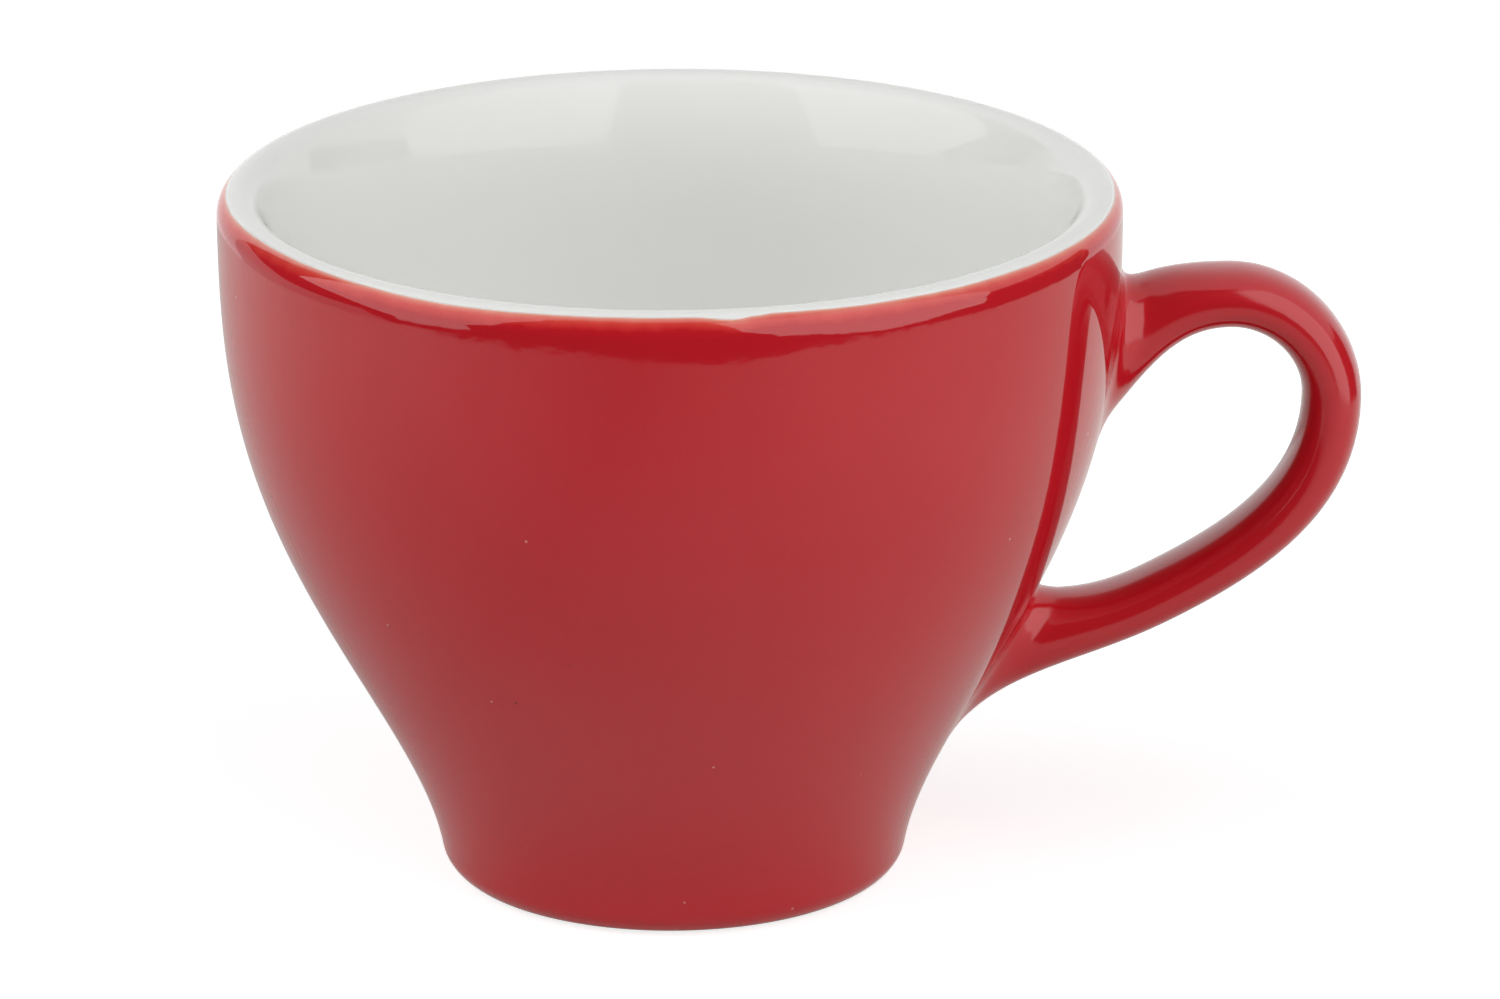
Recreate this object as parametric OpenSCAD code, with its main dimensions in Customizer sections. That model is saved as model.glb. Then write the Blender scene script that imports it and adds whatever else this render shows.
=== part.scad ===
// Cappuccino cup: a porcelain bowl on a foot ring, with a loop handle stuck on with slip,
// white glaze inside and over the lip, and red glaze outside.
// Millimetres, +Z up. The origin is on the cup's axis, where the foot ring stands, and the
// handle points along +X. All outer sizes are those of the finished, glazed cup.

/* [Bowl] */
// Diameter over the lip
rim_d = 87; // [80:0.5:94]
// Height from the table to the top of the lip
cup_h = 68.8; // [64:0.1:76]
// Diameter of the wall's line where it reaches the table
foot_d = 45; // [42:0.5:50]
// Thickness of the rounded lip
lip_t = 4.3; // [3.8:0.1:5]
// Thickness of the wall, below the stretch where the inside eases away from the lip
wall_t = 6.2; // [5.4:0.1:7]
// Height of that stretch
lip_ease_h = 16; // [12:0.5:24]
// Lean of the inside, from upright, where it leaves the round of the lip
lip_ease_lean = 30; // [10:1:40]
// Thickness of the floor
floor_t = 4.8; // [4:0.1:6]

/* [Foot] */
// Radius of the rounded edge round the foot
foot_round = 2.8; // [2.4:0.1:3.4]
// Width of the bare ring that the cup stands on
foot_ring_w = 3.4; // [2.6:0.1:4.4]
// Height of the hollow inside the foot ring
foot_well_h = 2.2; // [1.8:0.1:3]
// Radius of the hollow's upper corner
foot_well_round = 1.5; // [1:0.1:1.7]
// Height of the glazes' lower edges above the table
bare_h = 0.4; // [0.3:0.05:0.6]

/* [Glaze] */
// Thickness of the fired glaze
glaze_t = 0.3; // [0.2:0.05:0.4]
// Angle on the lip, up from level, at which red glaze gives way to white
glaze_line_angle = 54; // [20:1:70]

/* [Handle] */
// How far the handle stands out past the lip
handle_reach = 23.3; // [20:0.1:28]
// Drop from the lip to the top of the handle
handle_drop = 8.4; // [7:0.1:12]
// Thickness of the handle at its top, seen from the side
handle_top_t = 5.8; // [4.8:0.1:6.6]
// Thickness of the handle at its outermost point
handle_side_t = 5.7; // [4.8:0.1:6.6]
// Thickness of the handle's lower arm
handle_arm_t = 5.3; // [4.6:0.1:6.4]
// Width of the handle, seen from the front
handle_w = 9.6; // [8:0.1:12]
// Height of the handle's outermost point above the table
handle_side_z = 47.3; // [44:0.1:50]
// Height of the upper root on the wall
upper_root_h = 14; // [12:0.1:15]
// Height of the lower root's lower end above the table
lower_root_z = 13.8; // [12:0.1:17]
// Height of the lower root on the wall
lower_root_h = 13.7; // [12:0.1:15]
// How much wider the handle is on each side where it meets the wall
root_flare = 1.6; // [0.5:0.1:2.5]
// Distance from the wall over which that flare runs out
root_flare_len = 5; // [3:0.5:8]
// Thickness of the slip between the handle and the wall
slip_t = 0.6; // [0.5:0.05:0.9]

/* [Hidden] */
$fn = 180;

// Steps along each part of the bowl's outline, along each stretch of a rail, and round the handle
foot_steps = 6;
wall_steps = 26;
lip_steps = 6;
ease_steps = 10;
floor_steps = 14;
well_steps = 5;
rail_steps = 10;
section_steps = 28;

// The wall's outline, as control shares from the foot's radius to the lip's, evenly spaced in height
wall_shares = [0, 0.04, 0.67, 1, 0.995, 1];
// Pull of the curve that eases the inside away from the lip, as a share of that curve's chord
ease_pull_share = 0.33;
// The inside turns into the floor at this share of the cup's height
floor_turn_share = 0.25;
// Pull of the floor's curve at the wall, and the radius of its level part, as shares of its radius
floor_pull_share = 0.38;
floor_flat_share = 0.55;
// The rails of the handle: the top's place along the reach, the lower arm's place along the reach
// and between the lower root and the outermost point, and the pull of each stretch's curve
handle_top_share = 0.45;
arm_reach_share = 0.2;
arm_height_share = 0.323;
rail_pull_share = 0.38;
// Drop of the upper root's top below the top of the handle
root_dip = 1.8;
// Headings of the outer and inner rail, in degrees, at the upper root, lower arm and lower root
upper_out_heading = 23;
upper_in_heading = 47;
arm_heading = -153;
lower_out_heading = -136;
lower_in_heading = -188;
// Squareness of the handle's section: 2 is an ellipse
section_power = 2.3;
// Depth to which the handle's form runs on into the wall before the wall cuts it off
embed = 2;

function mix(a, b, t) = a + (b - a) * t;
function turned_left(v) = [-v[1], v[0]];
function heading(angle) = [cos(angle), sin(angle)];
function reversed(list) = [for (i = [len(list) - 1:-1:0]) list[i]];
function tail(list) = [for (i = [1:1:len(list) - 1]) list[i]];

// A point on the Bezier curve of the given control values
function curve(controls, t) =
    len(controls) == 1 ? controls[0]
    : curve([for (i = [0:len(controls) - 2]) mix(controls[i], controls[i + 1], t)], t);

// The wall's outer surface at a height above the table, up to where the lip turns over
foot_r = foot_d / 2;
rim_r = rim_d / 2;
lip_r = lip_t / 2;
wall_top_z = cup_h - lip_r;
wall_degree = len(wall_shares) - 1;
wall_rises = [for (i = [0:wall_degree - 1]) wall_shares[i + 1] - wall_shares[i]];
function wall_point(z) = [mix(foot_r, rim_r, curve(wall_shares, z / wall_top_z)), z];
function wall_slope(z) =
    wall_degree * curve(wall_rises, z / wall_top_z) * (rim_r - foot_r) / wall_top_z;
function wall_lean(z) = atan(wall_slope(z));
function wall_normal(z) = heading(-wall_lean(z));

// The lip is a half round from the outside of the wall to the inside
lip_z = wall_top_z - lip_r * sin(wall_lean(wall_top_z));
lip_lean = wall_lean(lip_z);
lip_centre = wall_point(lip_z) - lip_r * wall_normal(lip_z);
function lip_arc(from, to) =
    [for (i = [0:lip_steps]) lip_centre + lip_r * heading(mix(from, to, i / lip_steps))];

// The foot's rounded edge, from the glaze's lower edge up to the wall
foot_z = foot_round * (1 - sin(wall_lean(foot_round)));
foot_centre = wall_point(foot_z) - foot_round * wall_normal(foot_z);
foot_arc_start = asin((bare_h - foot_centre[1]) / foot_round);
foot_arc = [for (i = [0:foot_steps - 1])
    foot_centre + foot_round * heading(mix(foot_arc_start, -wall_lean(foot_z), i / foot_steps))];

// The inside of the wall, and the curve that leads to it from the round of the lip
function inside_point(z) = wall_point(z) - wall_t * wall_normal(z);
ease_z = lip_z - lip_ease_h;
ease_top_angle = 180 - lip_ease_lean;
ease_top = lip_centre + lip_r * heading(ease_top_angle);
ease_pull = ease_pull_share * norm(ease_top - inside_point(ease_z));
ease_controls = [
    ease_top,
    ease_top + ease_pull * turned_left(heading(ease_top_angle)),
    inside_point(ease_z) + ease_pull * turned_left(wall_normal(ease_z)),
    inside_point(ease_z)
];

// The floor that the inside turns into
floor_z = foot_well_h + floor_t;
floor_turn_z = floor_turn_share * cup_h;
floor_edge = inside_point(floor_turn_z);
floor_controls = [
    floor_edge,
    floor_edge + floor_pull_share * floor_edge[0] * turned_left(-wall_normal(floor_turn_z)),
    [floor_flat_share * floor_edge[0], floor_z],
    [0, floor_z]
];

// The finished outline, from the foot's edge up to the glaze line, and from there in to the axis
outside_points = concat(
    foot_arc,
    [for (i = [0:wall_steps - 1]) wall_point(mix(foot_z, lip_z, i / wall_steps))],
    lip_arc(-lip_lean, glaze_line_angle)
);
inside_points = concat(
    lip_arc(glaze_line_angle, ease_top_angle),
    [for (i = [1:ease_steps]) curve(ease_controls, i / ease_steps)],
    [for (i = [1:wall_steps]) inside_point(mix(ease_z, floor_turn_z, i / wall_steps))],
    [for (i = [1:floor_steps]) curve(floor_controls, i / floor_steps)]
);

// An outline moved square to itself into the wall, with its last point kept on the axis
function outline_normal(points, i) =
    let (along = points[i + 1] - points[max(i - 1, 0)]) -turned_left(along) / norm(along);
function moved_in(points, depth) = concat(
    [for (i = [0:len(points) - 2]) points[i] - depth * outline_normal(points, i)],
    [points[len(points) - 1] - [0, depth]]
);

// The bare porcelain under the glaze
body_points = moved_in(concat(outside_points, tail(inside_points)), glaze_t);
body_outside_points = [for (i = [0:len(outside_points) - 1]) body_points[i]];
body_inside_points = [for (i = [len(outside_points) - 1:len(body_points) - 1]) body_points[i]];

// The foot ring and the hollow inside it, at the surface of its glaze or a depth above it
ring_out_r = foot_centre[0];
ring_in_r = ring_out_r - foot_ring_w;
well_centre = [ring_in_r - glaze_t - foot_well_round, foot_well_h - foot_well_round];
function well_points(depth) = concat(
    [[well_centre[0] + foot_well_round + depth, bare_h]],
    [for (i = [0:well_steps])
        well_centre + (foot_well_round + depth) * heading(mix(0, 90, i / well_steps))],
    [[0, foot_well_h + depth]]
);

// The bare wall's outer surface, or a layer on it, as the edge of a solid of revolution
function layer_points(depth) =
    [for (i = [0:len(body_outside_points) - 2])
        body_outside_points[i] + depth * outline_normal(body_outside_points, i)];

// The handle runs between an outer and an inner rail in the XZ plane, from the upper root over
// the top and round to the lower root. A knot is a point and the heading of the rail there.
// The rails end in the middle of the wall's glaze, clear of both its surfaces.
function root_point(z) = wall_point(z) - glaze_t / 2 * wall_normal(z);
handle_top_z = cup_h - handle_drop;
upper_root_z = handle_top_z - root_dip;
handle_top = [rim_r + handle_top_share * handle_reach, handle_top_z];
handle_side = [rim_r + handle_reach, handle_side_z];
handle_arm = [rim_r + arm_reach_share * handle_reach,
              mix(lower_root_z, handle_side_z, arm_height_share)];
outer_knots = [
    [root_point(upper_root_z), upper_out_heading],
    [handle_top, 0],
    [handle_side, -90],
    [handle_arm, arm_heading],
    [root_point(lower_root_z), lower_out_heading]
];
inner_knots = [
    [root_point(upper_root_z - upper_root_h), upper_in_heading],
    [handle_top - [0, handle_top_t], 0],
    [handle_side - [handle_side_t, 0], -90],
    [handle_arm - handle_arm_t * turned_left(heading(arm_heading)), arm_heading],
    [root_point(lower_root_z + lower_root_h), lower_in_heading]
];
function stretch_controls(a, b) =
    let (pull = rail_pull_share * norm(b[0] - a[0]))
    [a[0], a[0] + pull * heading(a[1]), b[0] - pull * heading(b[1]), b[0]];
function rail(knots) = concat(
    [for (k = [0:len(knots) - 2])
        for (i = [0:rail_steps - 1])
            curve(stretch_controls(knots[k], knots[k + 1]), i / rail_steps)],
    [knots[len(knots) - 1][0]]
);
outer_rail = rail(outer_knots);
inner_rail = rail(inner_knots);
last = len(outer_rail) - 1;

// A station is the middle of a section and the half thickness vector from it to the outer rail
upper_into_wall = -embed * wall_normal(upper_root_z - upper_root_h / 2);
lower_into_wall = -embed * wall_normal(lower_root_z + lower_root_h / 2);
rail_stations = [for (i = [0:last])
    [(outer_rail[i] + inner_rail[i]) / 2, (outer_rail[i] - inner_rail[i]) / 2]];
stations = concat(
    [[rail_stations[0][0] + upper_into_wall, rail_stations[0][1]]],
    rail_stations,
    [[rail_stations[last][0] + lower_into_wall, rail_stations[last][1]]]
);

// Half the handle's width at a station, wider towards either root
function flare_at(middle, root) =
    root_flare * pow(max(0, 1 - norm(middle - root) / root_flare_len), 2);
function half_width(middle) = handle_w / 2
    + flare_at(middle, rail_stations[0][0]) + flare_at(middle, rail_stations[last][0]);

// The points of the handle's sections, at the surface of its glaze or a depth below it
function rounded(value) = sign(value) * pow(abs(value), 2 / section_power);
function section_points(station, depth) =
    let (
        across = station[1] / norm(station[1]),
        half_t = norm(station[1]) - depth,
        half_w = half_width(station[0]) - depth
    )
    [for (j = [0:section_steps - 1])
        let (
            angle = 360 * j / section_steps,
            middle = station[0] + half_t * rounded(cos(angle)) * across
        )
        [middle[0], half_w * rounded(sin(angle)), middle[1]]];
function form_points(depth) = [for (s = stations) for (p = section_points(s, depth)) p];

// Faces between rings of points: point j of ring i has the number first + i * section_steps + j
function next_point(j) = (j + 1) % section_steps;
function wall_faces(first, rings) = [
    for (i = [0:rings - 2])
        for (j = [0:section_steps - 1])
            let (
                a = first + i * section_steps + j,
                b = first + i * section_steps + next_point(j),
                c = a + section_steps,
                d = b + section_steps
            )
            each [[a, b, d], [a, d, c]]
];
function flipped(faces) = [for (f = faces) reversed(f)];
function end_faces(first) = [for (j = [1:section_steps - 2]) [first, first + j + 1, first + j]];
// The flat end between an outer ring of points and an inner ring
function rim_faces(outer, inner) = [
    for (j = [0:section_steps - 1])
        let (k = next_point(j))
        each [[outer + j, inner + j, inner + k], [outer + j, inner + k, outer + k]]
];

module handle_form(depth) {
    last_ring = section_steps * (len(stations) - 1);
    polyhedron(
        points = form_points(depth),
        faces = concat(wall_faces(0, len(stations)), end_faces(0), flipped(end_faces(last_ring)))
    );
}

module handle_coat_form() {
    inner = section_steps * len(stations);
    last_ring = inner - section_steps;
    polyhedron(
        points = concat(form_points(0), form_points(glaze_t)),
        faces = concat(
            wall_faces(0, len(stations)),
            flipped(wall_faces(inner, len(stations))),
            rim_faces(0, inner),
            flipped(rim_faces(last_ring, inner + last_ring))
        )
    );
}

// A solid of revolution whose seam is on the side away from the handle
module turned() {
    rotate([0, 0, 180])
        rotate_extrude()
            children();
}

// Everything inside the bare wall's outer surface, or inside a layer on it
module inside_layer(depth) {
    edge = layer_points(depth);
    turned()
        polygon(concat([[0, edge[0][1]]], edge, [[0, edge[len(edge) - 1][1]]]));
}

// The slip round both roots
module slip_layer() {
    turned()
        polygon(concat(layer_points(slip_t), reversed(layer_points(0))));
}

// A height between the lower root and the upper root
between_roots_z = (lower_root_z + lower_root_h + upper_root_z - upper_root_h) / 2;

module slip(z_low, z_high) {
    color("white")
        intersection() {
            handle_form(glaze_t);
            slip_layer();
            translate([0, 0, z_low])
                cylinder(r = rim_r, h = z_high - z_low);
        }
}

module bowl() {
    color("white")
        turned()
            polygon(concat(
                body_points,
                reversed(well_points(glaze_t)),
                [[ring_in_r, 0], [ring_out_r, 0]]
            ));
}

module foot_well_glaze() {
    color("white")
        turned()
            polygon(concat(well_points(0), reversed(well_points(glaze_t))));
}

module inner_glaze() {
    color("white")
        turned()
            polygon(concat(inside_points, reversed(body_inside_points)));
}

module outer_glaze() {
    color([0.69, 0.07, 0.11])
        difference() {
            turned()
                polygon(concat(outside_points, reversed(body_outside_points)));
            handle_form(0);
        }
}

module upper_handle_slip() {
    slip(between_roots_z, cup_h);
}

module lower_handle_slip() {
    slip(0, between_roots_z);
}

module handle() {
    color("white")
        difference() {
            handle_form(glaze_t);
            inside_layer(slip_t);
        }
}

module handle_glaze() {
    color([0.69, 0.07, 0.11])
        difference() {
            handle_coat_form();
            inside_layer(0);
        }
}

bowl();
foot_well_glaze();
inner_glaze();
outer_glaze();
upper_handle_slip();
lower_handle_slip();
handle();
handle_glaze();
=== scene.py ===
"""A cappuccino cup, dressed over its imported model: red glaze outside, white glaze inside.

Metres, +Z up. The origin is on the cup's axis where the foot stands, and the handle points
along +X. Turns round the axis are in radians from +X towards +Y.
"""

import math

import bpy
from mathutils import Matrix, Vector, noise


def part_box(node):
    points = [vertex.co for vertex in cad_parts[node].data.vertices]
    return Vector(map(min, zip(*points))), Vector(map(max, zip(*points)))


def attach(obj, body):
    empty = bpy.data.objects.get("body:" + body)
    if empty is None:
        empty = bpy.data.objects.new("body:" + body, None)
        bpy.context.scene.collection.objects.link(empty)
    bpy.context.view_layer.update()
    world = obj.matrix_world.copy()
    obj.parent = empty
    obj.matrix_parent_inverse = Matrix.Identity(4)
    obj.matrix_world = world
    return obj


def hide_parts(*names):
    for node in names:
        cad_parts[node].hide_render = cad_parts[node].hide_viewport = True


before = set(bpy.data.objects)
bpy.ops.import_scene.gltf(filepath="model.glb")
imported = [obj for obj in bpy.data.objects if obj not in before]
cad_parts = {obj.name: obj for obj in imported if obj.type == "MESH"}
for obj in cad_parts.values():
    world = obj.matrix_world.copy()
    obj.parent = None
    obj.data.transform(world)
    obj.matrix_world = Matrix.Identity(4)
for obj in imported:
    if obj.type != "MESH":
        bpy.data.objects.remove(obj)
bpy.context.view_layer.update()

MM = 0.001

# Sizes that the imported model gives
wall_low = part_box("outer_glaze")[0]
RIM_R = -wall_low.x
BARE_H = wall_low.z
CUP_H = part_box("inner_glaze")[1].z
HANDLE_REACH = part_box("handle_glaze")[1].x - RIM_R

# The bowl
FOOT_R = 22.5 * MM
LIP_T = 4.3 * MM
LIP_EASE_LEAN = math.radians(30)
LIP_EASE_H = 16 * MM
WALL_T = 6.2 * MM
FLOOR_T = 4.8 * MM
FOOT_ROUND = 2.8 * MM
FOOT_RING_W = 3.4 * MM
WELL_H = 2.2 * MM
WELL_ROUND = 1.5 * MM
GLAZE_T = 0.3 * MM
WALL_SHARES = (0, 0.04, 0.67, 1, 0.995, 1)
EASE_PULL_SHARE = 0.33
FLOOR_TURN_SHARE = 0.25
FLOOR_PULL_SHARE = 0.38
FLOOR_FLAT_SHARE = 0.55
LEAN_STEP = 0.01 * MM

# The line on the lip where red gives way to white: its angle round the lip and how far it
# wanders, slowly and quickly, in degrees, and the shift between the two noises
GLAZE_LINE_ANGLE = 54
LINE_WANDER_SLOW = 2.5
LINE_WANDER_QUICK = 1.0
LINE_SCALE_SLOW = 2.3
LINE_SCALE_QUICK = 11
LINE_SHIFT = Vector((0, 1, 0))

# Places where the line rises or dips: turn, reach before and after it, and rise, in degrees
LINE_MARKS = (
    (-148, 45, 34, 14),
    (-83, 40, 60, 7),
    (-82.5, 4.5, 3.5, -10),
    (-78, 0.7, 14, 4),
    (-42, 14, 30, 4),
    (40, 30, 25, 4),
    (130, 20, 35, -4),
)

# The handle
HANDLE_DROP = 8.4 * MM
HANDLE_TOP_T = 5.8 * MM
HANDLE_SIDE_T = 5.7 * MM
HANDLE_ARM_T = 5.3 * MM
HANDLE_W = 9.6 * MM
HANDLE_SIDE_Z = 47.3 * MM
UPPER_ROOT_H = 14 * MM
LOWER_ROOT_Z = 13.8 * MM
LOWER_ROOT_H = 13.7 * MM
ROOT_FLARE = 1.6 * MM
ROOT_FLARE_LEN = 5 * MM
ROOT_DIP = 1.8 * MM
EMBED = 2 * MM
FILLET_ALONG = 3.2 * MM
FILLET_OUT = 3.4 * MM
FILLET_SINK = 0.02 * MM
FILLET_PULL_SHARES = (0.42, 0.84)
HANDLE_TOP_SHARE = 0.45
ARM_REACH_SHARE = 0.2
ARM_HEIGHT_SHARE = 0.323
RAIL_PULL_SHARE = 0.38
UPPER_OUT_HEADING = 23
UPPER_IN_HEADING = 47
ARM_HEADING = -153
LOWER_OUT_HEADING = -136
LOWER_IN_HEADING = -188
SECTION_POWER = 2.3

# Steps round the axis, along each part of an outline, along the handle and round it
RING_STEPS = 288
LIP_STEPS = 16
WALL_STEPS = 90
FOOT_STEPS = 10
EASE_STEPS = 24
FLOOR_STEPS = 40
RAIL_STEPS = 22
LOOP_STEPS = 110
SECTION_STEPS = 56
FILLET_STEPS = 18


def mix(a, b, t):
    return a + (b - a) * t


def bezier(controls, t):
    """The point at t on the Bezier curve of these control values."""
    values = list(controls)
    while len(values) > 1:
        values = [mix(a, b, t) for a, b in zip(values, values[1:])]
    return values[0]


def heading(angle):
    return Vector((math.cos(angle), math.sin(angle)))


def turned_left(v):
    return Vector((-v.y, v.x))


def apart(a, b):
    """The turn from b to a in degrees, from -180 to 180."""
    return (a - b + 180) % 360 - 180


def turned_out(r, z, turn):
    """The place of an outline's point at a turn round the axis."""
    return Vector((r * math.cos(turn), r * math.sin(turn), z))


# The outline of the wall: points are (distance from the axis, height)
LIP_R = LIP_T / 2
WALL_TOP_Z = CUP_H - LIP_R


def wall_r(z):
    return mix(FOOT_R, RIM_R, bezier(WALL_SHARES, z / WALL_TOP_Z))


def wall_lean(z):
    return math.atan2(wall_r(z + LEAN_STEP) - wall_r(z - LEAN_STEP), 2 * LEAN_STEP)


def wall_point(z):
    return Vector((wall_r(z), z))


def wall_normal(z):
    return heading(-wall_lean(z))


LIP_Z = WALL_TOP_Z - LIP_R * math.sin(wall_lean(WALL_TOP_Z))
LIP_LEAN = wall_lean(LIP_Z)
LIP_CENTRE = wall_point(LIP_Z) - LIP_R * wall_normal(LIP_Z)
FOOT_Z = FOOT_ROUND * (1 - math.sin(wall_lean(FOOT_ROUND)))
FOOT_CENTRE = wall_point(FOOT_Z) - FOOT_ROUND * wall_normal(FOOT_Z)
FOOT_START = math.asin((BARE_H - FOOT_CENTRE.y) / FOOT_ROUND)
FLOOR_Z = WELL_H + FLOOR_T
FLOOR_TURN_Z = FLOOR_TURN_SHARE * CUP_H
EASE_Z = LIP_Z - LIP_EASE_H
EASE_TOP_ANGLE = math.pi - LIP_EASE_LEAN


def inside_point(z):
    return wall_point(z) - WALL_T * wall_normal(z)


def lip_arc(start, end):
    return [LIP_CENTRE + LIP_R * heading(mix(start, end, i / LIP_STEPS))
            for i in range(LIP_STEPS + 1)]


def outside_outline(line_angle):
    """From the glaze line on the lip down to the lower edge of the glaze at the foot."""
    wall = [wall_point(mix(LIP_Z, FOOT_Z, i / WALL_STEPS)) for i in range(1, WALL_STEPS)]
    foot_turn = -wall_lean(FOOT_Z)
    foot = [FOOT_CENTRE + FOOT_ROUND * heading(mix(foot_turn, FOOT_START, i / FOOT_STEPS))
            for i in range(FOOT_STEPS + 1)]
    return lip_arc(line_angle, -LIP_LEAN) + wall + foot


def lip_ease():
    """The curve that eases the round of the lip into the inside of the wall."""
    top = LIP_CENTRE + LIP_R * heading(EASE_TOP_ANGLE)
    low = inside_point(EASE_Z)
    pull = EASE_PULL_SHARE * (top - low).length
    controls = [
        top,
        top + pull * turned_left(heading(EASE_TOP_ANGLE)),
        low + pull * turned_left(wall_normal(EASE_Z)),
        low,
    ]
    return [bezier(controls, i / EASE_STEPS) for i in range(1, EASE_STEPS + 1)]


def inside_outline(line_angle):
    """From the glaze line over the lip and down the inside to the axis."""
    wall = [inside_point(mix(EASE_Z, FLOOR_TURN_Z, i / WALL_STEPS))
            for i in range(1, WALL_STEPS + 1)]
    edge = inside_point(FLOOR_TURN_Z)
    pull = FLOOR_PULL_SHARE * edge.x
    controls = [
        edge,
        edge + pull * turned_left(-wall_normal(FLOOR_TURN_Z)),
        Vector((FLOOR_FLAT_SHARE * edge.x, FLOOR_Z)),
        Vector((0, FLOOR_Z)),
    ]
    floor = [bezier(controls, i / FLOOR_STEPS) for i in range(1, FLOOR_STEPS + 1)]
    return lip_arc(line_angle, EASE_TOP_ANGLE) + lip_ease() + wall + floor


def well_outline():
    """The hollow inside the foot ring, from its lower edge to the axis."""
    inner_r = FOOT_CENTRE.x - FOOT_RING_W
    centre = Vector((inner_r - GLAZE_T - WELL_ROUND, WELL_H - WELL_ROUND))
    arc = [centre + WELL_ROUND * heading(mix(0, math.pi / 2, i / FOOT_STEPS))
           for i in range(FOOT_STEPS + 1)]
    top = [Vector((mix(centre.x, 0, i / FLOOR_STEPS), WELL_H)) for i in range(1, FLOOR_STEPS + 1)]
    return [Vector((centre.x + WELL_ROUND, BARE_H))] + arc + top


def glaze_line(turn):
    """The angle on the lip at which red gives way to white, at a turn round the axis."""
    around = Vector((math.cos(turn), math.sin(turn), 0))
    slow = noise.noise(around * LINE_SCALE_SLOW)
    quick = noise.noise(around * LINE_SCALE_QUICK + LINE_SHIFT)
    angle = GLAZE_LINE_ANGLE + LINE_WANDER_SLOW * slow + LINE_WANDER_QUICK * quick
    for place, before, after, rise in LINE_MARKS:
        away = apart(math.degrees(turn), place)
        share = max(0, 1 - abs(away) / (after if away > 0 else before))
        angle += rise * share * share * (3 - 2 * share)
    return math.radians(angle)


def new_piece(name, points, faces, material, replaced):
    """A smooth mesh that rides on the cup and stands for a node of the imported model."""
    mesh = bpy.data.meshes.new(name)
    mesh.from_pydata(points, [], faces)
    mesh.validate()
    mesh.shade_smooth()
    piece = bpy.data.objects.new(name, mesh)
    bpy.context.scene.collection.objects.link(piece)
    mesh.materials.append(material)
    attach(piece, "root")
    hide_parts(*replaced)
    return piece


def thicken(piece, thickness):
    """Gives a surface its thickness, inwards from the side that shows."""
    solidify = piece.modifiers.new("thickness", "SOLIDIFY")
    solidify.thickness = thickness
    solidify.offset = -1
    solidify.use_even_offset = True


def grid_faces(rows, columns, flip):
    """Faces between rows of points, each row a closed ring."""
    faces = []
    for i in range(rows - 1):
        for j in range(columns):
            k = (j + 1) % columns
            face = (i * columns + j, i * columns + k, (i + 1) * columns + k, (i + 1) * columns + j)
            faces.append(face[::-1] if flip else face)
    return faces


def turned(outlines, to_axis, flip):
    """Points and faces of a surface of revolution from one outline for each step of the turn."""
    rows = len(outlines[0]) - (1 if to_axis else 0)
    columns = len(outlines)
    turns = [math.tau * j / columns for j in range(columns)]
    points = [turned_out(*outlines[j][i], turns[j]) for i in range(rows) for j in range(columns)]
    faces = grid_faces(rows, columns, flip)
    if to_axis:
        points.append(Vector((0, 0, outlines[0][-1].y)))
        last = (rows - 1) * columns
        for j in range(columns):
            face = (last + j, last + (j + 1) % columns, len(points) - 1)
            faces.append(face[::-1] if flip else face)
    return points, faces


def add_edge_gap(piece, outlines):
    """Stores each point's distance along the surface from the edge of the glaze on the lip."""
    rows = len(outlines[0])
    gaps = []
    running = [0.0] * len(outlines)
    for i in range(rows):
        for j, outline in enumerate(outlines):
            if i:
                running[j] += (outline[i] - outline[i - 1]).length
            gaps.append(running[j])
    attribute = piece.data.attributes.new("edge_gap", "FLOAT", "POINT")
    attribute.data.foreach_set("value", gaps[:len(attribute.data)])


# The handle's rails in the plane of the axis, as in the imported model
HANDLE_TOP_Z = CUP_H - HANDLE_DROP
UPPER_ROOT_Z = HANDLE_TOP_Z - ROOT_DIP
HANDLE_TOP = Vector((RIM_R + HANDLE_TOP_SHARE * HANDLE_REACH, HANDLE_TOP_Z))
HANDLE_SIDE = Vector((RIM_R + HANDLE_REACH, HANDLE_SIDE_Z))
HANDLE_ARM = Vector((RIM_R + ARM_REACH_SHARE * HANDLE_REACH,
                     mix(LOWER_ROOT_Z, HANDLE_SIDE_Z, ARM_HEIGHT_SHARE)))


def root_point(z):
    return wall_point(z) - GLAZE_T / 2 * wall_normal(z)


def stretch(a, b):
    """One stretch of a rail between two knots, each a point and a heading in degrees."""
    pull = RAIL_PULL_SHARE * (b[0] - a[0]).length
    leave = a[0] + pull * heading(math.radians(a[1]))
    arrive = b[0] - pull * heading(math.radians(b[1]))
    return [bezier((a[0], leave, arrive, b[0]), i / RAIL_STEPS) for i in range(RAIL_STEPS)]


def rail(knots):
    points = [p for a, b in zip(knots, knots[1:]) for p in stretch(a, b)]
    return points + [knots[-1][0]]


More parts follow.
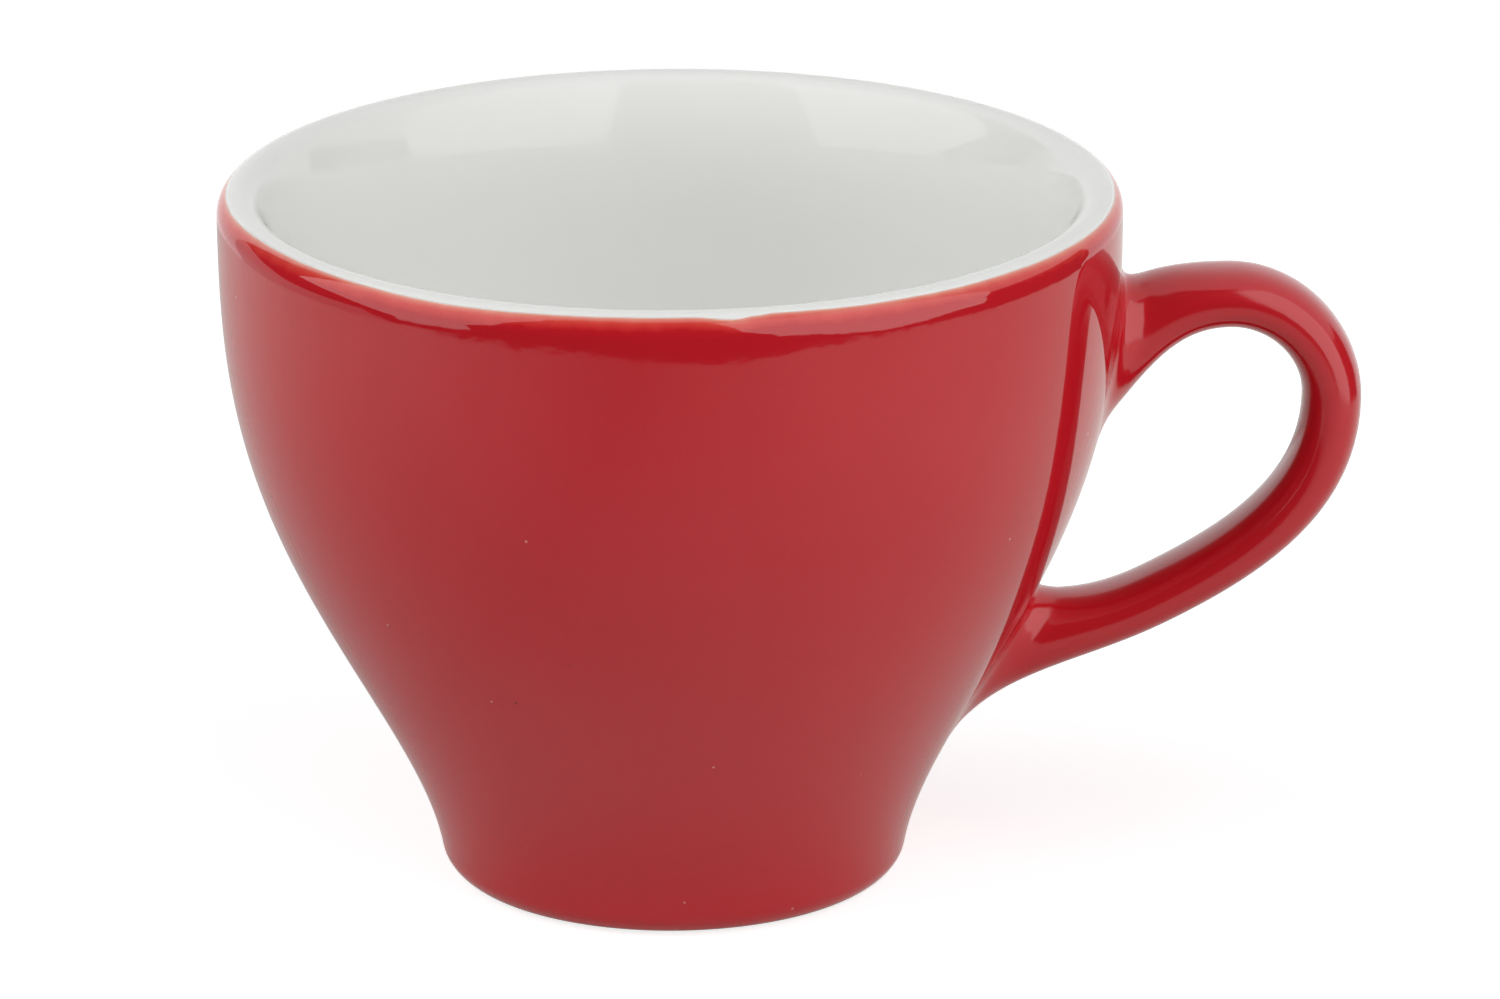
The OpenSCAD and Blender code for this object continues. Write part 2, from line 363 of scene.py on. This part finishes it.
def handle_rails():
    """The outer and the inner edge of the handle, from the upper root to the lower root."""
    arm_inner = HANDLE_ARM - HANDLE_ARM_T * turned_left(heading(math.radians(ARM_HEADING)))
    outer = rail([
        (root_point(UPPER_ROOT_Z), UPPER_OUT_HEADING),
        (HANDLE_TOP, 0),
        (HANDLE_SIDE, -90),
        (HANDLE_ARM, ARM_HEADING),
        (root_point(LOWER_ROOT_Z), LOWER_OUT_HEADING),
    ])
    inner = rail([
        (root_point(UPPER_ROOT_Z - UPPER_ROOT_H), UPPER_IN_HEADING),
        (HANDLE_TOP - Vector((0, HANDLE_TOP_T)), 0),
        (HANDLE_SIDE - Vector((HANDLE_SIDE_T, 0)), -90),
        (arm_inner, ARM_HEADING),
        (root_point(LOWER_ROOT_Z + LOWER_ROOT_H), LOWER_IN_HEADING),
    ])
    return outer, inner


def handle_stations():
    """Middle, half thickness vector and half width of each section along the handle."""
    outer, inner = handle_rails()
    middles = [(a + b) / 2 for a, b in zip(outer, inner)]
    halves = [(a - b) / 2 for a, b in zip(outer, inner)]
    roots = (middles[0], middles[-1])
    widths = []
    for middle in middles:
        near = [max(0, 1 - (middle - root).length / ROOT_FLARE_LEN) for root in roots]
        widths.append(HANDLE_W / 2 + sum(ROOT_FLARE * share ** 2 for share in near))
    upper_in = -EMBED * wall_normal(UPPER_ROOT_Z - UPPER_ROOT_H / 2)
    lower_in = -EMBED * wall_normal(LOWER_ROOT_Z + LOWER_ROOT_H / 2)
    middles = [middles[0] + upper_in] + middles + [middles[-1] + lower_in]
    halves = [halves[0]] + halves + [halves[-1]]
    widths = [widths[0]] + widths + [widths[-1]]
    return list(zip(middles, halves, widths))


def rounded(value):
    return math.copysign(abs(value) ** (2 / SECTION_POWER), value)


def section_point(station, angle):
    middle, half, width = station
    place = middle + half * rounded(math.cos(angle))
    return Vector((place.x, width * rounded(math.sin(angle)), place.y))


def outside_by(point):
    """How far a point lies outside the wall's surface, measured level."""
    return math.hypot(point.x, point.y) - wall_r(point.z)


def on_wall(point, depth):
    """The place that deep under the wall's surface at the point's own height and turn."""
    level = Vector((point.x, point.y, 0)).normalized() * (wall_r(point.z) - depth)
    return Vector((level.x, level.y, point.z))


def wall_outward(point):
    """The wall's normal at a point of its surface."""
    lean = wall_lean(point.z)
    level = Vector((point.x, point.y, 0)).normalized()
    return level * math.cos(lean) - Vector((0, 0, math.sin(lean)))


def leaving_point(line):
    """Where a line along the handle leaves the wall, and the rest of the line from there."""
    for i in range(len(line) - 1):
        inside, outside = outside_by(line[i]), outside_by(line[i + 1])
        if inside < 0 <= outside:
            crossing = line[i].lerp(line[i + 1], inside / (inside - outside))
            return crossing, line[i + 1:]
    raise ValueError("a line of the handle never leaves the wall")


def walk(line, distance):
    """The point that far along a line, and the rest of the line from there."""
    left = distance
    for i in range(len(line) - 1):
        length = (line[i + 1] - line[i]).length
        if left <= length:
            return line[i].lerp(line[i + 1], left / length), line[i + 1:]
        left -= length
    raise ValueError("the line is too short")


def evenly(line, steps):
    """Points at even distances along a line, its ends among them."""
    total = sum((b - a).length for a, b in zip(line, line[1:]))
    points = [line[0]]
    rest = line
    for _ in range(steps - 1):
        point, rest = walk(rest, total / steps)
        points.append(point)
        rest = [point] + rest
    return points + [line[-1]]


def trimmed(lines):
    """Where each line leaves the wall, the line from a fillet's length on, and its start."""
    crossings = []
    rests = []
    for line in lines:
        crossing, rest = leaving_point(line)
        start, beyond = walk([crossing] + rest, FILLET_ALONG)
        crossings.append(crossing)
        rests.append([start] + beyond)
    return crossings, rests


def fillet_rows(crossings, starts):
    """Rings that turn from the handle's surface to the wall's, from the handle outwards."""
    count = len(crossings)
    centre = sum(crossings, Vector()) / count
    columns = []
    for j, (crossing, start) in enumerate(zip(crossings, starts)):
        around = crossings[(j + 1) % count] - crossings[j - 1]
        outward = wall_outward(crossing)
        away = around.cross(outward).normalized()
        if away.dot(crossing - centre) < 0:
            away = -away
        end = on_wall(crossing + FILLET_OUT * away, FILLET_SINK)
        end_normal = wall_outward(end)
        back = (crossing - end) - (crossing - end).dot(end_normal) * end_normal
        leave = [start.lerp(crossing, share) for share in FILLET_PULL_SHARES]
        arrive = [end + back.normalized() * FILLET_OUT * share for share in FILLET_PULL_SHARES]
        controls = [start] + leave + arrive[::-1] + [end]
        columns.append([bezier(controls, i / FILLET_STEPS) for i in range(1, FILLET_STEPS + 1)])
    return [[column[i] for column in columns] for i in range(FILLET_STEPS)]


def handle_rows():
    """Rings of points along the handle, from the fillet at the upper root to the lower one."""
    stations = handle_stations()
    angles = [math.tau * j / SECTION_STEPS for j in range(SECTION_STEPS)]
    lines = [[section_point(station, angle) for station in stations] for angle in angles]
    upper_crossings, lines = trimmed(lines)
    lower_crossings, lines = trimmed([line[::-1] for line in lines])
    lines = [evenly(line[::-1], LOOP_STEPS) for line in lines]
    rows = [[line[i] for line in lines] for i in range(LOOP_STEPS + 1)]
    upper = fillet_rows(upper_crossings, rows[0])
    lower = fillet_rows(lower_crossings, rows[-1])
    return upper[::-1] + rows + lower


def feed(tree, socket, value):
    """Links another node's output to a socket, or sets the socket's own value."""
    if isinstance(value, bpy.types.NodeSocket):
        tree.links.new(value, socket)
    else:
        socket.default_value = value


def node(tree, kind, inputs=(), **settings):
    """A new node, its settings, and its inputs as values or other nodes' outputs."""
    made = tree.nodes.new(kind)
    for name, value in settings.items():
        setattr(made, name, value)
    for key, value in dict(inputs).items():
        feed(tree, made.inputs[key], value)
    return made


def new_material(name):
    """A material, its empty tree, the output, and a point's place as texture coordinates."""
    material = bpy.data.materials.new(name)
    material.use_nodes = True
    tree = material.node_tree
    tree.nodes.clear()
    output = node(tree, "ShaderNodeOutputMaterial")
    place = node(tree, "ShaderNodeTexCoord").outputs["Object"]
    return material, tree, output, place


def noise_at(tree, place, scale, detail=2.0):
    return node(tree, "ShaderNodeTexNoise",
                {"Vector": place, "Scale": scale, "Detail": detail}).outputs["Fac"]


def ramp(tree, factor, stops):
    """A colour ramp from (place, colour) pairs."""
    made = node(tree, "ShaderNodeValToRGB", {"Fac": factor})
    elements = made.color_ramp.elements
    while len(elements) < len(stops):
        elements.new(1.0)
    for element, (place, colour) in zip(elements, stops):
        element.position = place
        element.color = (*colour, 1)
    return made.outputs["Color"]


# The places of a mix node's sockets for two colours, and of its output for their mix
MIX_FACTOR = 0
MIX_A = 6
MIX_B = 7
MIX_RESULT = 2


def blended(tree, factor, a, b):
    """A mix of two colours, from a where the factor is 0 to b where it is 1."""
    made = node(tree, "ShaderNodeMix", {MIX_FACTOR: factor}, data_type="RGBA")
    for key, colour in ((MIX_A, a), (MIX_B, b)):
        feed(tree, made.inputs[key], (*colour, 1) if isinstance(colour, tuple) else colour)
    return made.outputs[MIX_RESULT]


def math_node(tree, operation, *values):
    made = node(tree, "ShaderNodeMath", dict(enumerate(values)), operation=operation)
    return made.outputs[0]


def map_range(tree, value, **limits):
    """A value taken from one range to another, each limit named as its socket is."""
    inputs = {"Value": value}
    inputs.update((name.replace("_", " ").title(), limit) for name, limit in limits.items())
    return node(tree, "ShaderNodeMapRange", inputs).outputs[0]


RED = (0.55, 0.0105, 0.0185)
RED_DEEP = (0.52, 0.0095, 0.017)
WHITE = (0.902, 0.907, 0.876)
WHITE_COOL = (0.902, 0.907, 0.888)
# Light specks: pinholes in the glaze, lightened as a painted highlight
PINHOLE_SPECK_PAINTED_GLINT = (0.66, 0.20, 0.18)
SPECK_DARK = (0.10, 0.002, 0.004)
PORCELAIN = (0.78, 0.75, 0.68)
PORCELAIN_GRAIN_SHADE = 0.92
GLAZE_IOR = 1.5
GLAZE_ROUGHNESS = 0.03
HANDLE_ROUGHNESS = 0.15
WHITE_ROUGHNESS = 0.04
WHITE_SPECULAR = 0.3
PORCELAIN_ROUGHNESS = 0.7

# How fine each unevenness is, as a noise's scale per metre
RED_TONE_SCALE = 55
WHITE_TONE_SCALE = 40
PEEL_SCALE_SLOW = 170
PEEL_SCALE_QUICK = 900
PEEL_QUICK_SHARE = 0.15
GRAIN_SCALE = 2600
GRAIN_DETAIL = 4.0
RED_PEEL_H = 0.012 * MM
WHITE_PEEL_H = 0.01 * MM
GRAIN_H = 0.03 * MM

# Specks in the red glaze: colour, the size of a cell, a speck's radius, and the share of the
# cells that have one. The light specks are pinholes whose lighter colour is a painted highlight;
# the dark ones are the glaze's own specks
SPECKS = (
    (PINHOLE_SPECK_PAINTED_GLINT, 3.5 * MM, 0.14 * MM, 0.35),
    (SPECK_DARK, 5 * MM, 0.13 * MM, 0.3),
)

# The thinning red glaze, from its edge on the lip to its full depth: its width, how much that
# varies, and from which share of it on the colour turns into the wall's own
EDGE_WIDTH = 1.6 * MM
EDGE_VARY_SCALE = 500
EDGE_VARY = 0.6
EDGE_VARY_LEAST = 0.7
EDGE_FULL_SHARE = 0.82
EDGE_STOPS = (
    (0.0, WHITE),
    (0.11, (0.80, 0.30, 0.215)),
    (0.23, (0.76, 0.173, 0.125)),
    (0.34, (0.735, 0.103, 0.078)),
    (0.46, (0.70, 0.058, 0.047)),
    (0.68, (0.635, 0.033, 0.031)),
    (0.83, (0.59, 0.019, 0.024)),
    (1.0, RED),
)


def bump(tree, level, height):
    return node(tree, "ShaderNodeBump",
                {"Height": level, "Distance": height, "Strength": 1.0}).outputs["Normal"]


def orange_peel(tree, place, height):
    """The faint unevenness of fired glaze."""
    slow = noise_at(tree, place, PEEL_SCALE_SLOW, 1.0)
    quick = noise_at(tree, place, PEEL_SCALE_QUICK, 1.0)
    level = math_node(tree, "ADD", slow, math_node(tree, "MULTIPLY", quick, PEEL_QUICK_SHARE))
    return bump(tree, level, height)


def specks(tree, place, spacing, radius, share):
    """1 in small round specks, in the given share of the cells of a cell pattern."""
    cells = node(tree, "ShaderNodeTexVoronoi", {"Vector": place, "Scale": 1 / spacing})
    small = math_node(tree, "LESS_THAN", cells.outputs["Distance"], radius / spacing)
    chosen = node(tree, "ShaderNodeSeparateColor", {"Color": cells.outputs["Color"]})
    picked = math_node(tree, "LESS_THAN", chosen.outputs[0], share)
    return math_node(tree, "MULTIPLY", small, picked)


def red_glaze(on_lip):
    """Gloss red glaze. On the wall it thins to orange and white towards its edge on the lip."""
    material, tree, output, place = new_material("red_glaze_wall" if on_lip else "red_glaze")
    colour = blended(tree, noise_at(tree, place, RED_TONE_SCALE), RED, RED_DEEP)
    # Dark specks of the glaze, and light pinhole specks that carry a painted highlight
    for speck_colour, spacing, radius, share in SPECKS:
        colour = blended(tree, specks(tree, place, spacing, radius, share), colour, speck_colour)
    if on_lip:
        gap = node(tree, "ShaderNodeAttribute", attribute_name="edge_gap").outputs["Fac"]
        vary = math_node(tree, "MULTIPLY_ADD", noise_at(tree, place, EDGE_VARY_SCALE),
                         EDGE_VARY, EDGE_VARY_LEAST)
        depth = math_node(tree, "MULTIPLY", math_node(tree, "DIVIDE", gap, EDGE_WIDTH), vary)
        full = map_range(tree, depth, from_min=EDGE_FULL_SHARE)
        colour = blended(tree, full, ramp(tree, depth, EDGE_STOPS), colour)
    shader = node(tree, "ShaderNodeBsdfPrincipled", {
        "Base Color": colour,
        "Roughness": GLAZE_ROUGHNESS if on_lip else HANDLE_ROUGHNESS,
        "IOR": GLAZE_IOR,
        "Normal": orange_peel(tree, place, RED_PEEL_H),
    })
    tree.links.new(shader.outputs[0], output.inputs["Surface"])
    return material


def white_glaze():
    """Gloss white glaze with a faint greenish cast and a slow change of tone."""
    material, tree, output, place = new_material("white_glaze")
    colour = blended(tree, noise_at(tree, place, WHITE_TONE_SCALE), WHITE, WHITE_COOL)
    shader = node(tree, "ShaderNodeBsdfPrincipled", {
        "Base Color": colour,
        "Roughness": WHITE_ROUGHNESS,
        "IOR": GLAZE_IOR,
        "Specular IOR Level": WHITE_SPECULAR,
        "Normal": orange_peel(tree, place, WHITE_PEEL_H),
    })
    tree.links.new(shader.outputs[0], output.inputs["Surface"])
    return material


def bare_porcelain():
    """Matt fired porcelain with a fine grain."""
    material, tree, output, place = new_material("bare_porcelain")
    grain = noise_at(tree, place, GRAIN_SCALE, GRAIN_DETAIL)
    shaded = tuple(PORCELAIN_GRAIN_SHADE * c for c in PORCELAIN)
    shader = node(tree, "ShaderNodeBsdfPrincipled", {
        "Base Color": blended(tree, grain, PORCELAIN, shaded),
        "Roughness": PORCELAIN_ROUGHNESS,
        "Normal": bump(tree, grain, GRAIN_H),
    })
    tree.links.new(shader.outputs[0], output.inputs["Surface"])
    return material


def lip_outlines(outline):
    """One outline for each step of the turn, each from its own place of the glaze line."""
    return [outline(glaze_line(math.tau * j / RING_STEPS)) for j in range(RING_STEPS)]


def make_wall_coat():
    outlines = lip_outlines(outside_outline)
    points, faces = turned(outlines, to_axis=False, flip=True)
    piece = new_piece("red_wall_coat", points, faces, red_glaze(on_lip=True),
                      ["outer_glaze"])
    add_edge_gap(piece, outlines)
    thicken(piece, GLAZE_T)


def make_inner_coat(material):
    points, faces = turned(lip_outlines(inside_outline), to_axis=True, flip=False)
    piece = new_piece("white_inner_coat", points, faces, material, ["inner_glaze"])
    thicken(piece, GLAZE_T)


def make_well_coat(material):
    points, faces = turned([well_outline()] * RING_STEPS, to_axis=True, flip=False)
    piece = new_piece("foot_well_coat", points, faces, material, ["foot_well_glaze"])
    thicken(piece, GLAZE_T)


def make_handle_coat():
    rows = handle_rows()
    points = [p for row in rows for p in row]
    faces = grid_faces(len(rows), SECTION_STEPS, flip=True)
    piece = new_piece("red_handle_coat", points, faces, red_glaze(on_lip=False),
                      ["handle_glaze"])
    thicken(piece, GLAZE_T)


def dress_bare_pieces(material):
    """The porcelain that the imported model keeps: the bowl, the handle and its slip."""
    for name in ("bowl", "handle", "upper_handle_slip", "lower_handle_slip"):
        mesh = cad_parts[name].data
        mesh.materials.clear()
        mesh.materials.append(material)


# The stage: a round table, dark screens before and beside it, a pale sweep under the left one,
# and two softboxes that stand nearer than the screens. Azimuth 0 is the camera's side, 90 is +X.
TABLE_R = 240.5 * MM
TABLE_DIP = 5.5 * MM
TABLE_DIP_AZIMUTH = 9
TABLE_DIP_SPREAD = 22
TABLE_SINK = 0.05 * MM
TABLE_COLOUR = (0.6, 0.6, 0.6)
# Its glow as the camera sees it and as light, the share of its glow at the sides that also
# lights, and the tint of what the camera doesn't see
TABLE_SEEN = 0.75
TABLE_GLOW = 0.03
TABLE_SIDE_GLOW_SHARE = 0.25
TABLE_TINT = (1.0, 1.0, 0.92)
# The table shows least in the gloss at one place along X, and more towards either side and
# behind its front edge
TABLE_DIM_X = -40 * MM
TABLE_SIDE_REACH = 170 * MM
TABLE_SIDE_REFLECTED = 0.4
TABLE_FRONT_Y = -220 * MM
TABLE_MIDDLE_Y = -100 * MM
TABLE_MIDDLE_REFLECTED = 0.17
WORLD_SEEN = 1.0
WORLD_REFLECTED = 1.1
AMBIENT = 0.08
SCREEN_GLOW = 0.06
SWEEP_GLOW = 0.7
SCREEN_DISTANCE = 1.3
SCREEN_STEP = 4
SCREEN_FOOT = -0.9
# Places along a screen, each an azimuth and the heights of its lower and upper edge
LEFT_SCREEN = (
    (-137, 0.42, 0.75), (-132, 0.37, 0.95), (-127, 0.3, 1.25), (-122, 0.21, 1.5),
    (-116, 0.08, 1.6), (-109, -0.13, 1.6), (-103, -0.21, 1.6), (-97, -0.25, 0.55),
    (-90, -0.28, 0.55), (-82, -0.31, 0.55), (-70, -0.35, 0.55), (-44, SCREEN_FOOT, 0.55),
)
LEFT_SWEEP = [(azimuth, SCREEN_FOOT, low_z) for azimuth, low_z, _ in LEFT_SCREEN[:-1]]
# Name, glow, and places along it
SCREENS = (
    ("left_screen", SCREEN_GLOW, LEFT_SCREEN),
    ("left_sweep", SWEEP_GLOW, LEFT_SWEEP),
    ("front_screen", SCREEN_GLOW, ((-46, SCREEN_FOOT, 4.0), (24, SCREEN_FOOT, 4.0))),
    ("right_screen", SCREEN_GLOW, ((22, SCREEN_FOOT, 0.42), (126, SCREEN_FOOT, 0.42))),
)
SOFTBOX_DISTANCE = 0.7
SOFTBOX_EYE_Z = 0.066
# Name, azimuth it faces, radiance in the gloss and as light, and corners as azimuth and
# elevation from the cup, in degrees
SOFTBOXES = (
    ("left_softbox", -80, 1.85, 1.84, (
        (-50, -16), (-50, -3), (-43, 11), (-41.5, 50), (-50, 64), (-98, 62), (-105, 59),
        (-115, 57), (-126, 54), (-120, 45), (-115, 39), (-109, 30), (-107, 18), (-95, 11),
        (-88, 7), (-80, -2), (-75, -10), (-71, -16))),
    ("right_softbox", 52, 2.2, 1.72, (
        (83, -14.5), (82, 3), (87, 20), (87, 62), (16, 62), (17, 16), (20, 5), (24, -4),
        (26, -14.8))),
)
OVERHEAD_PLACE = (0, -0.45, 0.9)
OVERHEAD_AIM = (0, 0, 0.05)
OVERHEAD_SIZE = 1.0
OVERHEAD_RADIANCE = 0.42
PLAIN_WHITE = (1.0, 1.0, 1.0)
CAMERA_PLACE = (0, -0.75846, 0.28944)
CAMERA_AIM = (0.0076, 0.0005, 0.0367)
CAMERA_ROLL = -0.167
CAMERA_LENS = 197.4
CAMERA_SENSOR = 36


def ray_strength(tree, by_camera, in_gloss, on_matt):
    """The strength of a glow as the camera sees it, in a reflection, and as light."""
    path = node(tree, "ShaderNodeLightPath")
    gloss = math_node(tree, "MAXIMUM", path.outputs["Is Glossy Ray"],
                      path.outputs["Is Transmission Ray"])
    seen = math_node(tree, "MULTIPLY_ADD", path.outputs["Is Camera Ray"], by_camera,
                     math_node(tree, "MULTIPLY", gloss, in_gloss))
    return math_node(tree, "MULTIPLY_ADD", path.outputs["Is Diffuse Ray"], on_matt, seen)


def stage_sheet(name, points, faces, material):
    mesh = bpy.data.meshes.new(name)
    mesh.from_pydata(points, [], faces)
    sheet = bpy.data.objects.new(name, mesh)
    bpy.context.scene.collection.objects.link(sheet)
    mesh.materials.append(material)
    return sheet


def table_material():
    material, tree, output, place = new_material("table")
    along = node(tree, "ShaderNodeSeparateXYZ", {"Vector": place}).outputs
    aside = math_node(tree, "ABSOLUTE", math_node(tree, "SUBTRACT", along["X"], TABLE_DIM_X))
    side = map_range(tree, aside, from_max=TABLE_SIDE_REACH, to_max=TABLE_SIDE_REFLECTED)
    behind = map_range(tree, along["Y"], from_min=TABLE_FRONT_Y, from_max=TABLE_MIDDLE_Y,
                       to_max=TABLE_MIDDLE_REFLECTED)
    reflected = math_node(tree, "ADD", side, behind)
    on_matt = math_node(tree, "MULTIPLY_ADD", side, TABLE_SIDE_GLOW_SHARE, TABLE_GLOW)
    by_camera = node(tree, "ShaderNodeLightPath").outputs["Is Camera Ray"]
    glow = node(tree, "ShaderNodeEmission", {
        "Color": blended(tree, by_camera, TABLE_TINT, PLAIN_WHITE),
        "Strength": ray_strength(tree, TABLE_SEEN, reflected, on_matt),
    })
    paper = node(tree, "ShaderNodeBsdfDiffuse", {"Color": (*TABLE_COLOUR, 1)})
    both = node(tree, "ShaderNodeAddShader")
    tree.links.new(glow.outputs[0], both.inputs[0])
    tree.links.new(paper.outputs[0], both.inputs[1])
    tree.links.new(both.outputs[0], output.inputs["Surface"])
    return material


def glow_material(name, strength):
    material, tree, output, _ = new_material(name)
    glow = node(tree, "ShaderNodeEmission", {"Color": (*PLAIN_WHITE, 1), "Strength": strength})
    tree.links.new(glow.outputs[0], output.inputs["Surface"])
    return material


def table_r(azimuth):
    """The table is round, and a little nearer in front of the cup."""
    away = apart(azimuth, TABLE_DIP_AZIMUTH)
    return TABLE_R - TABLE_DIP * math.exp(-(away / TABLE_DIP_SPREAD) ** 2)


def toward(azimuth):
    """The level direction of an azimuth in degrees."""
    angle = math.radians(azimuth)
    return Vector((math.sin(angle), -math.cos(angle), 0))


def make_table():
    azimuths = [360 * j / RING_STEPS for j in range(RING_STEPS)]
    sink = Vector((0, 0, TABLE_SINK))
    rim = [table_r(azimuth) * toward(azimuth) - sink for azimuth in azimuths]
    stage_sheet("table", rim, [range(RING_STEPS)], table_material())


def make_screen(name, glow, places):
    """An upright screen along part of a circle round the cup."""
    stations = []
    for start, end in zip(places, places[1:]):
        steps = math.ceil((end[0] - start[0]) / SCREEN_STEP)
        stations += [[mix(a, b, i / steps) for a, b in zip(start, end)] for i in range(steps)]
    points = []
    for azimuth, low_z, high_z in stations + [places[-1]]:
        level = SCREEN_DISTANCE * toward(azimuth)
        points += [level + Vector((0, 0, low_z)), level + Vector((0, 0, high_z))]
    faces = [(2 * i, 2 * i + 2, 2 * i + 3, 2 * i + 1) for i in range(len(stations))]
    screen = stage_sheet(name, points, faces, glow_material(name, glow))
    screen.visible_camera = False


def make_softbox(name, facing, in_gloss, on_matt, corners):
    """A flat upright softbox: one sheet that shows in the gloss, and one that lights."""
    points = []
    for azimuth, elevation in corners:
        reach = SOFTBOX_DISTANCE / math.cos(math.radians(azimuth - facing))
        height = SOFTBOX_EYE_Z + reach * math.tan(math.radians(elevation))
        points.append(reach * toward(azimuth) + Vector((0, 0, height)))
    for word, strength in (("gloss", in_gloss), ("light", on_matt)):
        full_name = f"{name}_{word}"
        sheet = stage_sheet(full_name, points, [range(len(points))],
                            glow_material(full_name, strength))
        sheet.visible_camera = False
        sheet.visible_shadow = False
        sheet.visible_glossy = word == "gloss"
        sheet.visible_diffuse = word == "light"


def make_world():
    world = bpy.data.worlds.new("studio")
    bpy.context.scene.world = world
    world.use_nodes = True
    tree = world.node_tree
    tree.nodes.clear()
    strength = ray_strength(tree, WORLD_SEEN, WORLD_REFLECTED, AMBIENT)
    light = node(tree, "ShaderNodeBackground", {"Color": (*PLAIN_WHITE, 1), "Strength": strength})
    output = node(tree, "ShaderNodeOutputWorld")
    tree.links.new(light.outputs[0], output.inputs["Surface"])


def aim_at(thing, place, aim):
    """Puts a lamp or the camera at a place and turns it towards its aim."""
    thing.location = place
    turn = (Vector(aim) - Vector(place)).to_track_quat("-Z", "Y")
    thing.rotation_euler = turn.to_euler()


def make_overhead_light():
    """A square lamp above the cup and before it that doesn't show in the gloss."""
    lamp = bpy.data.lights.new("overhead", "AREA")
    lamp.size = OVERHEAD_SIZE
    # Power that gives a square lamp this radiance
    lamp.energy = math.pi * OVERHEAD_RADIANCE * OVERHEAD_SIZE ** 2
    light = bpy.data.objects.new("overhead", lamp)
    bpy.context.scene.collection.objects.link(light)
    aim_at(light, OVERHEAD_PLACE, OVERHEAD_AIM)
    light.visible_camera = False
    light.visible_glossy = False


def make_camera():
    """The photograph's view: a long lens, looking down by 18 degrees."""
    lens = bpy.data.cameras.new("camera")
    lens.lens = CAMERA_LENS
    lens.sensor_width = CAMERA_SENSOR
    camera = bpy.data.objects.new("camera", lens)
    bpy.context.scene.collection.objects.link(camera)
    aim_at(camera, CAMERA_PLACE, CAMERA_AIM)
    camera.rotation_euler.rotate_axis("Z", math.radians(CAMERA_ROLL))
    bpy.context.scene.camera = camera


make_camera()
make_world()
make_table()
for screen in SCREENS:
    make_screen(*screen)
for box in SOFTBOXES:
    make_softbox(*box)
make_overhead_light()
white = white_glaze()
make_wall_coat()
make_inner_coat(white)
make_well_coat(white)
make_handle_coat()
dress_bare_pieces(bare_porcelain())

bpy.context.scene.view_settings.view_transform = "Standard"
